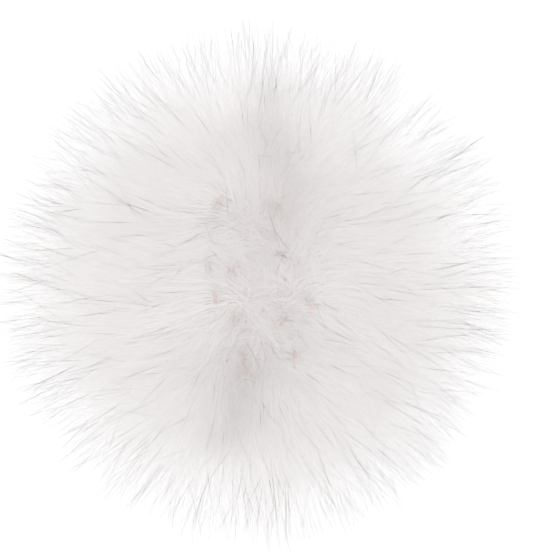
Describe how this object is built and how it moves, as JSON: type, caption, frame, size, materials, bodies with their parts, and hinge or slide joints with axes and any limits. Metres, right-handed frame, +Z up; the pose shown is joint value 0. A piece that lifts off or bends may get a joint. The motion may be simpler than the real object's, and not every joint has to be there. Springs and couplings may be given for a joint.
{
  "type": "pom pom",
  "caption": "Round white faux-fur pom pom with long soft hair, lying on its back, with a round steel sew-on snap under its middle.",
  "frame": {"origin": "on the surface that the pom pom lies on, under its middle", "axes": "+Z up, out of the crown of the fur; +Y towards the top of the snap as it is pictured, with the hairpins of its springs"},
  "size_m": [0.1228, 0.1232, 0.0983],
  "materials": {
    "white_fur": "long soft faux fur, white with fine grey hairs",
    "snap_steel": "pressed, nickel plated and bright"
  },
  "bodies": {
    "root": {"fur_ball": "white_fur", "snap_plate": "snap_steel", "snap_spring_left": "snap_steel", "snap_spring_right": "snap_steel"}
  },
  "joints": []
}
